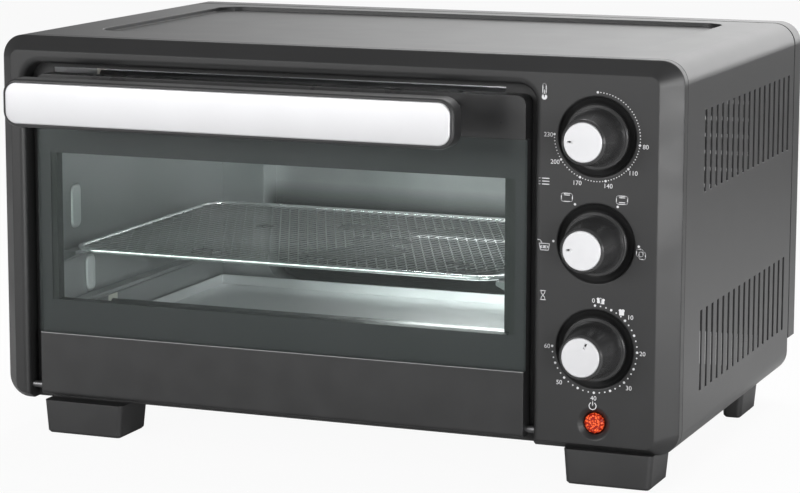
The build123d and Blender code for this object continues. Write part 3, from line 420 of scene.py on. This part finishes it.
NODE_FINISH = {
    "paint": ["cabinet_wrap", "rear_cover", "base_plate"],
    "panel": ["front_frame"],
    "moulding": ["door_bottom_rail", "handle_bar", "handle_posts"],
    "gloss": ["door_top_rail", "cord_gland"],
    "chassis": ["front_chassis", "door_inner_frame"],
    "knob": ["temperature_knob", "function_knob", "timer_knob"],
    "foot": ["foot_front_left", "foot_front_right", "foot_rear_left", "foot_rear_right"],
    "liner": ["cavity_wall_left", "cavity_wall_right", "cavity_floor", "cavity_ceiling", "fan_guard"],
    "back": ["cavity_back"],
    "crumb": ["crumb_tray"],
    "steel": [
        "fan_shaft", "fan_impeller", "motor_bracket", "timer_bell", "control_nuts",
        "handle_screws", "rear_cover_screws", "frame_screws", "foot_screws",
        "temperature_shaft", "function_shaft", "timer_shaft",
    ],
    "pin": ["hinge_pins"],
    "bright": ["tray_rim"],
    "cap": ["temperature_cap", "function_cap", "timer_cap"],
    "insert": ["handle_insert"],
    "element": ["upper_element_front", "upper_element_rear", "lower_element_front", "lower_element_rear"],
    "ceramic": ["element_insulators"],
    "resin": ["thermostat", "function_switch", "timer", "lamp_body"],
    "iron": ["fan_motor"],
    "net": ["tray_net"],
    "glass": ["door_glass"],
    "lamp": ["lamp_lens"],
}


def dress_nodes():
    for finish, names in NODE_FINISH.items():
        for name in names:
            mesh = NODES[name].data
            mesh.materials.clear()
            mesh.materials.append(FINISH[finish])


# Meshes


def mesh_object(name, build, finish):
    """An object whose mesh is filled in by build(bm)."""
    bm = bmesh.new()
    build(bm)
    mesh = bpy.data.meshes.new(name)
    bm.to_mesh(mesh)
    bm.free()
    mesh.materials.append(FINISH[finish])
    piece = bpy.data.objects.new(name, mesh)
    bpy.context.scene.collection.objects.link(piece)
    return piece


def prism(bm, outline, low_y, high_y):
    """Closed slab between two y planes from a list of (x, z) points."""
    front = [bm.verts.new((x, low_y, z)) for x, z in outline]
    back = [bm.verts.new((x, high_y, z)) for x, z in outline]
    bm.faces.new(front)
    bm.faces.new(back[::-1])
    for i in range(len(outline)):
        j = (i + 1) % len(outline)
        bm.faces.new((front[j], front[i], back[i], back[j]))


def circle(x, z, radius, count=16, start=0.0, turn=2 * pi):
    return [(x + radius * cos(start + turn * i / count), z + radius * sin(start + turn * i / count))
            for i in range(count)]


def rounded_outline(x, z, width, height, corner, shrink=0.0):
    """Points round a rectangle with round corners, all of it smaller by shrink on each side."""
    points = []
    for side, level, start in ((1, 1, 0), (-1, 1, 90), (-1, -1, 180), (1, -1, 270)):
        for i in range(4):
            angle = radians(start + 30 * i)
            points.append((
                x + side * (width / 2 - corner) + (corner - shrink) * cos(angle),
                z + level * (height / 2 - corner) + (corner - shrink) * sin(angle),
            ))
    return points


def ring(bm, x, z, radius, width, low_y, high_y, start=0.0, turn=2 * pi, count=28):
    """Flat band along a circle or an arc."""
    closed = abs(turn) > 2 * pi - 0.01
    steps = count if closed else count + 1
    rows = []
    for i in range(steps):
        angle = start + turn * i / count
        row = []
        for r in (radius - width / 2, radius + width / 2):
            for y in (low_y, high_y):
                row.append(bm.verts.new((x + r * cos(angle), y, z + r * sin(angle))))
        rows.append(row)
    last = steps if closed else steps - 1
    for i in range(last):
        a, b = rows[i], rows[(i + 1) % steps]
        for p, q in ((0, 1), (1, 3), (3, 2), (2, 0)):
            bm.faces.new((a[p], a[q], b[q], b[p]))
    if not closed:
        for row in (rows[0], rows[-1]):
            bm.faces.new((row[0], row[1], row[3], row[2]))


def stroke(bm, points, width, low_y, high_y):
    """Flat bars from point to point, with round joints."""
    for (x0, z0), (x1, z1) in zip(points, points[1:]):
        run = Vector((x1 - x0, z1 - z0))
        across = Vector((-run.y, run.x)).normalized() * width / 2
        prism(bm, [(x0 + across.x, z0 + across.y), (x1 + across.x, z1 + across.y),
                   (x1 - across.x, z1 - across.y), (x0 - across.x, z0 - across.y)], low_y, high_y)
    for x, z in points:
        prism(bm, circle(x, z, width / 2, 10), low_y, high_y)


# Print on the control panel

PRINT_LOW = FACE_Y - 0.10 * MM
PRINT_HIGH = FACE_Y + 0.05 * MM
DOT_RADIUS = 24.0 * MM
BIG_DOT = 0.68 * MM
SMALL_DOT = 0.42 * MM
LINE = 0.45 * MM
TEXT_HALF_DEPTH = 0.07 * MM
TEMPERATURE_MARKS = (0, 98, 133, 168, 203, 237, 271)
TEMPERATURE_STEP = 4.1
TIMER_STEP = 7.5


def dial_dot(bm, centre, clockwise, radius):
    """A dot beside a dial, so many degrees clockwise from the top."""
    angle = radians(90 - clockwise)
    x = centre.x + DOT_RADIUS * cos(angle)
    z = centre.z + DOT_RADIUS * sin(angle)
    prism(bm, circle(x, z, radius, 12), PRINT_LOW, PRINT_HIGH)


def temperature_dots(bm):
    for low, high in zip(TEMPERATURE_MARKS, TEMPERATURE_MARKS[1:]):
        steps = round((high - low) / TEMPERATURE_STEP)
        for i in range(1, steps):
            dial_dot(bm, CONTROL["temperature"], low + (high - low) * i / steps, SMALL_DOT * 0.75)
    for angle in TEMPERATURE_MARKS:
        dial_dot(bm, CONTROL["temperature"], angle, BIG_DOT)


def function_dots(bm):
    for angle in (-90, -30, 30, 90):
        dial_dot(bm, CONTROL["function"], angle, BIG_DOT)


def timer_dots(bm):
    for step in range(37):
        dial_dot(bm, CONTROL["timer"], step * TIMER_STEP, SMALL_DOT if step % 3 else BIG_DOT)


def text_mesh(words, x, z, size):
    """Mesh of a short text, upright on the panel and centred on a point."""
    curve = bpy.data.curves.new("text", "FONT")
    curve.body = words
    curve.size = size
    curve.align_x = "CENTER"
    curve.align_y = "CENTER"
    curve.extrude = TEXT_HALF_DEPTH
    curve.resolution_u = 3
    holder = bpy.data.objects.new("text", curve)
    mesh = bpy.data.meshes.new_from_object(holder)
    upright = Matrix.Translation((x, PRINT_HIGH - TEXT_HALF_DEPTH, z)) @ Matrix.Rotation(pi / 2, 4, "X")
    mesh.transform(upright)
    bpy.data.objects.remove(holder)
    bpy.data.curves.remove(curve)
    return mesh


# Where each number stands, in millimetres to the right of its dial's middle and above it

NUMBER_PLACES = {
    "temperature": {
        "230": (-27.4, 0.0),
        "200": (-23.5, -14.6),
        "170": (-11.0, -25.4),
        "140": (6.4, -26.2),
        "110": (20.2, -18.6),
        "80": (27.0, -4.2),
    },
    "timer": {
        "0": (-0.9, 26.6),
        "10": (19.9, 18.8),
        "20": (27.0, -0.6),
        "30": (19.6, -20.0),
        "40": (-0.2, -27.2),
        "50": (-19.8, -19.9),
        "60": (-26.9, -0.3),
    },
}
NUMBER_SIZE = 3.5 * MM


def numbers(bm):
    for control, places in NUMBER_PLACES.items():
        centre = CONTROL[control]
        for words, (dx, dz) in places.items():
            mesh = text_mesh(words, centre.x + dx * MM, centre.z + dz * MM, NUMBER_SIZE)
            bm.from_mesh(mesh)
            bpy.data.meshes.remove(mesh)


def rounded_box(bm, x, z, width, height, corner, line):
    """Outline of a rounded rectangle as a band of strokes."""
    points = rounded_outline(x, z, width, height, corner)
    points.append(points[0])
    stroke(bm, points, line, PRINT_LOW, PRINT_HIGH)


def bread(bm, x, z, width):
    """Filled slice of bread: a square foot under two round shoulders."""
    half_width = width / 2
    side = half_width * 0.8
    neck = z + half_width * 0.2
    points = [(x - side, z - half_width), (x + side, z - half_width), (x + side, neck)]
    for shoulder, start in ((0.45, -30), (-0.45, 30)):
        for i in range(6):
            angle = radians(start + 30 * i)
            across = shoulder + 0.55 * cos(angle)
            up = 0.5 + 0.5 * sin(angle)
            points.append((x + half_width * across, z + half_width * up))
    points.append((x - side, neck))
    prism(bm, points, PRINT_LOW, PRINT_HIGH)


def icons(bm):
    """Pictograms, placed by millimetres from the dial they stand beside."""
    temperature, function, timer = (CONTROL[name] for name in ("temperature", "function", "timer"))

    def bars(centre, points, width=LINE):
        places = [(centre.x + px * MM, centre.z + pz * MM) for px, pz in points]
        stroke(bm, places, width, PRINT_LOW, PRINT_HIGH)

    def box(centre, px, pz, width, height, corner):
        rounded_box(bm, centre.x + px * MM, centre.z + pz * MM, width * MM, height * MM, corner * MM, LINE)

    # Thermometer
    box(temperature, -29.9, 24.5, 1.9, 6.0, 0.9)
    bulb = circle(temperature.x - 29.9 * MM, temperature.z + 20.3 * MM, 1.55 * MM, 16)
    prism(bm, bulb, PRINT_LOW, PRINT_HIGH)
    bars(temperature, [(-29.9, 20.3), (-29.9, 24.0)])
    # List of functions
    for row in range(3):
        height = 34.0 - 1.6 * row
        bars(function, [(-32.4, height), (-32.0, height)], 0.5 * MM)
        bars(function, [(-30.6, height), (-26.8, height)], 0.5 * MM)
    # Ovens with heat from above, and from above and below
    box(function, -16.6, 24.3, 6.2, 4.4, 1.0)
    bars(function, [(-18.2, 25.6), (-15.0, 25.6)])
    box(function, 14.3, 24.5, 6.2, 4.4, 1.0)
    bars(function, [(12.7, 25.8), (15.9, 25.8)])
    bars(function, [(12.7, 23.2), (15.9, 23.2)])
    # Roast in a pan
    bars(function, [(-32.0, -1.6), (-31.2, -5.2), (-26.8, -5.2), (-26.2, -1.6), (-32.0, -1.6)])
    bars(function, [(-30.6, -3.4), (-27.6, -3.4)], 1.6 * MM)
    bars(function, [(-33.0, 0.4), (-31.4, 0.2), (-30.6, -1.2)])
    # Two slices, one behind the other
    box(function, 24.6, -3.4, 3.6, 4.0, 1.0)
    box(function, 26.0, -4.8, 3.6, 4.0, 1.0)
    # Hourglass
    for end in (30.2, 25.2):
        bars(timer, [(-31.1, end), (-28.1, end)])
    bars(timer, [(-30.7, 30.2), (-30.6, 29.0), (-29.6, 27.7), (-28.6, 29.0), (-28.5, 30.2)], LINE * 0.8)
    bars(timer, [(-30.7, 25.2), (-30.6, 26.4), (-29.6, 27.7), (-28.6, 26.4), (-28.5, 25.2)], LINE * 0.8)
    # Slices of bread beside the timer's first marks
    bread(bm, timer.x + 2.4 * MM, timer.z + 27.0 * MM, 3.0 * MM)
    bread(bm, timer.x + 4.0 * MM, timer.z + 26.6 * MM, 3.0 * MM)
    bread(bm, timer.x + 15.0 * MM, timer.z + 21.4 * MM, 3.4 * MM)
    # Power symbol
    power_x = timer.x - 0.6 * MM
    power_z = timer.z - 31.4 * MM
    ring(bm, power_x, power_z, 2.0 * MM, LINE, PRINT_LOW, PRINT_HIGH, radians(120), radians(300), 20)
    bars(timer, [(-0.6, -31.0), (-0.6, -28.9)])


def panel_print():
    def build(bm):
        temperature_dots(bm)
        function_dots(bm)
        timer_dots(bm)
        numbers(bm)
        icons(bm)

    piece = mesh_object("panel_print", build, "print")
    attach(piece, "oven_body")
    return piece


# Door glass border: the dark print inside the pane, with a clear window

WINDOW_SIDE = 6.6 * MM
WINDOW_BELOW = 19.5 * MM
WINDOW_ABOVE = 21.9 * MM
PRINT_SETBACK = 0.25 * MM
PRINT_THICKNESS = 0.2 * MM


def glass_border():
    left = GLASS_LOW.x + WINDOW_SIDE
    right = GLASS_HIGH.x - WINDOW_SIDE
    bottom = GLASS_LOW.z + WINDOW_BELOW
    top = GLASS_HIGH.z - WINDOW_ABOVE
    outer = [(GLASS_LOW.x, GLASS_LOW.z), (GLASS_HIGH.x, GLASS_LOW.z),
             (GLASS_HIGH.x, GLASS_HIGH.z), (GLASS_LOW.x, GLASS_HIGH.z)]
    inner = [(left, bottom), (right, bottom), (right, top), (left, top)]

    def build(bm):
        rows = []
        for y in (GLASS_HIGH.y - PRINT_SETBACK - PRINT_THICKNESS, GLASS_HIGH.y - PRINT_SETBACK):
            rows.append([[bm.verts.new((x, y, z)) for x, z in loop] for loop in (outer, inner)])
        for i in range(4):
            j = (i + 1) % 4
            (outer_near, inner_near), (outer_far, inner_far) = rows
            bm.faces.new((outer_near[i], outer_near[j], inner_near[j], inner_near[i]))
            bm.faces.new((outer_far[j], outer_far[i], inner_far[i], inner_far[j]))
            bm.faces.new((outer_near[j], outer_near[i], outer_far[i], outer_far[j]))
            bm.faces.new((inner_near[i], inner_near[j], inner_far[j], inner_far[i]))

    piece = mesh_object("glass_border", build, "border")
    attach(piece, "door")
    return piece


# Painted highlight: a light strip where the glass meets the lower rail, standing in for light caught along
# that edge

SEAM_HEIGHT = 0.4 * MM
SEAM_PROUD = 0.06 * MM
SEAM_SUNK = 0.2 * MM


def glass_seam_highlight():
    bottom = GLASS_LOW.z - SEAM_HEIGHT / 2
    top = GLASS_LOW.z + SEAM_HEIGHT / 2
    outline = [(GLASS_LOW.x, bottom), (GLASS_HIGH.x, bottom), (GLASS_HIGH.x, top), (GLASS_LOW.x, top)]
    near = GLASS_LOW.y - SEAM_PROUD
    far = GLASS_LOW.y + SEAM_SUNK
    piece = mesh_object("glass_seam_highlight", lambda bm: prism(bm, outline, near, far), "seam")
    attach(piece, "door")
    return piece


# Pressed pads on the cavity's left wall, in the paler crumb-tray sheet as a painted highlight: setback, rise
# over its floor, width and height in millimetres

PADS = ((18.0, 68.0, 12.0, 26.0), (35.0, 27.0, 12.0, 22.0))
PAD_CORNER = 4.0 * MM
PAD_PROUD = 0.9 * MM
PAD_SLOPE = 1.2 * MM


def wall_pads():
    floor_low, floor_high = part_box("cavity_floor")

    def build(bm):
        for setback, rise, width, height in PADS:
            centre_y = SEAM_Y + (setback + width / 2) * MM
            centre_z = floor_high.z + (rise + height / 2) * MM
            rows = []
            for x, shrink in ((floor_low.x, 0.0), (floor_low.x + PAD_PROUD, PAD_SLOPE)):
                outline = rounded_outline(centre_y, centre_z, width * MM, height * MM, PAD_CORNER, shrink)
                rows.append([bm.verts.new((x, y, z)) for y, z in outline])
            base, top = rows
            bm.faces.new(top)
            bm.faces.new(base[::-1])
            for i in range(len(base)):
                j = (i + 1) % len(base)
                bm.faces.new((base[i], base[j], top[j], top[i]))

    # Painted highlight: the pads take the paler crumb-tray sheet, not the wall's own liner.
    piece = mesh_object("wall_pads", build, "crumb")
    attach(piece, "oven_body")
    return piece


# Painted shade: a dark fleck at the floor of the pointer notch of each cap

POINTER_ANGLES = {"temperature": 180.0, "function": 180.0, "timer": 67.5}
POINTER_RADIUS = 7.4 * MM
POINTER_TIP = 1.3 * MM
POINTER_TAIL = 1.0 * MM
POINTER_HALF_WIDTH = 0.5 * MM
POINTER_SUNK = 0.5 * MM
POINTER_THICKNESS = 0.28 * MM


def notch_painted_shade(name):
    cap_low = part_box(f"{name}_cap")[0]
    centre = CONTROL[name]
    angle = radians(POINTER_ANGLES[name])
    along = Vector((cos(angle), sin(angle)))
    across = Vector((-along.y, along.x))
    middle = Vector((centre.x, centre.z)) + along * POINTER_RADIUS
    outline = [(point.x, point.y) for point in (
        middle + along * POINTER_TIP,
        middle + across * POINTER_HALF_WIDTH,
        middle - along * POINTER_TAIL,
        middle - across * POINTER_HALF_WIDTH,
    )]
    near = cap_low.y + POINTER_SUNK
    far = near + POINTER_THICKNESS
    piece = mesh_object(f"{name}_pointer", lambda bm: prism(bm, outline, near, far), "mark")
    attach(piece, f"{name}_control")


# Tray net: two layers of slanting wires clipped to the rim

NET_PITCH = 5.6 * MM
NET_CORNER = 15.0 * MM
NET_SLOPE = 2.3
NET_STEPS = 300
HALF_WIRE = 0.35 * MM
LAYER_SHIFT = 0.8


def net_wire(bm, ends, across, z):
    """One straight square wire with closed ends."""
    corners = []
    for point in ends:
        for side, level in ((1, 1), (-1, 1), (-1, -1), (1, -1)):
            offset = across * HALF_WIRE * side
            corners.append(bm.verts.new((point.x + offset.x, point.y + offset.y, z + HALF_WIRE * level)))
    bm.faces.new(corners[0:4])
    bm.faces.new(corners[7:3:-1])
    for k in range(4):
        m = (k + 1) % 4
        bm.faces.new((corners[m], corners[k], corners[4 + k], corners[4 + m]))


def tray_net():
    low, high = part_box("tray_net")
    middle = (low + high) / 2
    reach_x = (high.x - low.x) / 2
    reach_y = (high.y - low.y) / 2
    span = reach_x + reach_y
    wires = int(span / NET_PITCH)

    def inside(point):
        dx = max(abs(point.x - middle.x) - (reach_x - NET_CORNER), 0)
        dy = max(abs(point.y - middle.y) - (reach_y - NET_CORNER), 0)
        if dx > 0 and dy > 0:
            return (dx * dx + dy * dy) ** 0.5 <= NET_CORNER
        return dx <= NET_CORNER and dy <= NET_CORNER

    def build(bm):
        for layer in (1, -1):
            direction = Vector((1.0, layer * NET_SLOPE, 0.0)).normalized()
            across = Vector((-direction.y, direction.x, 0.0))
            z = middle.z + layer * HALF_WIRE * LAYER_SHIFT
            for i in range(-wires, wires + 1):
                start = Vector((middle.x, middle.y, 0.0)) + across * NET_PITCH * i
                steps = [start + direction * span * t / NET_STEPS for t in range(-NET_STEPS, NET_STEPS + 1)]
                kept = [point for point in steps if inside(point)]
                if len(kept) > 2:
                    net_wire(bm, (kept[0], kept[-1]), across, z)

    piece = mesh_object("tray_mesh", build, "net")
    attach(piece, "mesh_tray")
    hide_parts("tray_net")
    return piece


# Floor: pale under the oven and, as painted shade, darker far behind it so the oven's sides reflect light
# falling off; almost white to the camera

FLOOR_REACH = 6.0
FADE_START = 0.15
FADE_END = 1.3
FLOOR_PALE = (0.82, 0.82, 0.82)
FLOOR_DARK = (0.22, 0.22, 0.22)
FLOOR_SPECKLE = 0.05
WHITE_SHARE = 0.94


def floor():
    def build(bm):
        signs = ((-1, -1), (1, -1), (1, 1), (-1, 1))
        bm.faces.new([bm.verts.new((sx * FLOOR_REACH, sy * FLOOR_REACH, 0.0)) for sx, sy in signs])

    material, tree, shader = new_material("pale_floor")
    split = add(tree, "ShaderNodeSeparateXYZ")
    tree.links.new(object_coordinates(tree), split.inputs["Vector"])
    speckle = math_node(tree, "MULTIPLY", noise(tree, 0.004, 2.0), FLOOR_SPECKLE)
    # Painted shade: the floor's colour darkens with distance behind the oven, standing in for light falling
    # off.
    near = ramp(tree, split.outputs["Y"], 1.0, 0.0, FADE_START, FADE_END)
    shade = two_tone(tree, math_node(tree, "ADD", near, speckle), FLOOR_DARK, FLOOR_PALE, 0.0, 1.0)
    tree.links.new(shade, shader.inputs["Base Color"])
    shader.inputs["Roughness"].default_value = 0.9
    FINISH["floor"] = material
    piece = mesh_object("floor", build, "floor")
    emission = add(tree, "ShaderNodeEmission")
    emission.inputs["Color"].default_value = (1, 1, 1, 1)
    emission.inputs["Strength"].default_value = 1.0
    path = add(tree, "ShaderNodeLightPath")
    share = math_node(tree, "MULTIPLY", path.outputs["Is Camera Ray"], WHITE_SHARE)
    mix = add(tree, "ShaderNodeMixShader")
    tree.links.new(share, mix.inputs["Fac"])
    tree.links.new(shader.outputs["BSDF"], mix.inputs[1])
    tree.links.new(emission.outputs["Emission"], mix.inputs[2])
    tree.links.new(mix.outputs["Shader"], tree.nodes["Material Output"].inputs["Surface"])


# Lights

OVEN_MIDDLE = (0.0, 0.0, 0.12)
BRIGHT_SIDE = (0.15, 0.98, 0.10)
BRIGHT_EDGE = 0.79
BRIGHT_CORE = 0.96
DIM_STRENGTH = 0.25
BRIGHT_STRENGTH = 2.7


def area_light(name, place, target, width, height, power):
    light = bpy.data.lights.new(name, "AREA")
    light.shape = "RECTANGLE"
    light.size = width
    light.size_y = height
    light.energy = power
    holder = bpy.data.objects.new(name, light)
    holder.location = place
    holder.rotation_euler = (Vector(target) - Vector(place)).to_track_quat("-Z", "Y").to_euler()
    bpy.context.scene.collection.objects.link(holder)
    return holder


def studio_world():
    """White to the camera; to other rays dim, with a bright patch low behind the oven."""
    world = bpy.data.worlds.new("studio")
    bpy.context.scene.world = world
    world.use_nodes = True
    tree = world.node_tree
    background = tree.nodes["Background"]
    direction = add(tree, "ShaderNodeTexCoord").outputs["Generated"]
    toward = add(tree, "ShaderNodeVectorMath", operation="DOT_PRODUCT")
    toward.inputs[1].default_value = BRIGHT_SIDE
    tree.links.new(direction, toward.inputs[0])
    glow = ramp(tree, toward.outputs["Value"], DIM_STRENGTH, BRIGHT_STRENGTH, BRIGHT_EDGE, BRIGHT_CORE)
    path = add(tree, "ShaderNodeLightPath")
    strength = add(tree, "ShaderNodeMix", data_type="FLOAT")
    tree.links.new(path.outputs["Is Camera Ray"], strength.inputs[MIX_FACTOR])
    tree.links.new(glow, strength.inputs[VALUE_A])
    strength.inputs[VALUE_B].default_value = 1.0
    tree.links.new(strength.outputs[VALUE_RESULT], background.inputs["Strength"])
    background.inputs["Color"].default_value = (1, 1, 1, 1)


def cavity_lights():
    """Two weak lights out of sight in the cavity: over the mesh tray and under it."""
    light_x = CEILING_HIGH.x - 0.05
    area_light(
        "cavity",
        place=(light_x, SEAM_Y + 0.07, CEILING_LOW.z - 0.014),
        target=(light_x + 0.01, SEAM_Y + 0.20, 0.08),
        width=0.10, height=0.05, power=0.60,
    )
    area_light(
        "below_tray",
        place=(light_x, SEAM_Y + 0.08, TRAY_LOW.z - 0.004),
        target=(light_x, SEAM_Y + 0.09, 0.03),
        width=0.10, height=0.10, power=0.25,
    )


def lights():
    area_light("key", (-1.0, -2.0, 0.7), OVEN_MIDDLE, width=1.3, height=0.6, power=22)
    area_light("right_front", (1.15, -1.35, 0.22), (0.2, -0.1, 0.10), width=0.40, height=0.40, power=11)
    area_light("right_strip", (1.5, -0.5, 0.16), (0.2, -0.1, 0.12), width=0.10, height=0.60, power=3)
    area_light("top", (0.1, 0.8, 1.7), OVEN_MIDDLE, width=1.5, height=0.8, power=24)
    cavity_lights()
    studio_world()


# Camera, fitted to the straight edges in the photo

CAMERA_PLACE = (0.6171, -1.5496, 0.3883)
CAMERA_YAW = radians(-22.331)
CAMERA_PITCH = radians(-9.408)
CAMERA_LENS = 128.18
CAMERA_SHIFT = (0.04357, -0.01264)


def camera():
    """Camera at the photograph's station: a long lens to the right of the oven, looking down at it."""
    level = cos(CAMERA_PITCH)
    forward = Vector((sin(CAMERA_YAW) * level, cos(CAMERA_YAW) * level, sin(CAMERA_PITCH)))
    right = Vector((cos(CAMERA_YAW), -sin(CAMERA_YAW), 0.0))
    up = right.cross(forward)
    data = bpy.data.cameras.new("camera")
    data.lens = CAMERA_LENS
    data.sensor_width = 36.0
    data.shift_x, data.shift_y = CAMERA_SHIFT
    data.clip_start = 0.05
    holder = bpy.data.objects.new("camera", data)
    axes = Matrix((right, up, -forward)).transposed().to_4x4()
    holder.matrix_world = Matrix.Translation(CAMERA_PLACE) @ axes
    bpy.context.scene.collection.objects.link(holder)
    bpy.context.scene.camera = holder


dress_nodes()
panel_print()
for control_name in CONTROL:
    notch_painted_shade(control_name)
glass_border()
glass_seam_highlight()
wall_pads()
tray_net()
floor()
lights()
camera()
bpy.context.scene.view_settings.view_transform = "Standard"
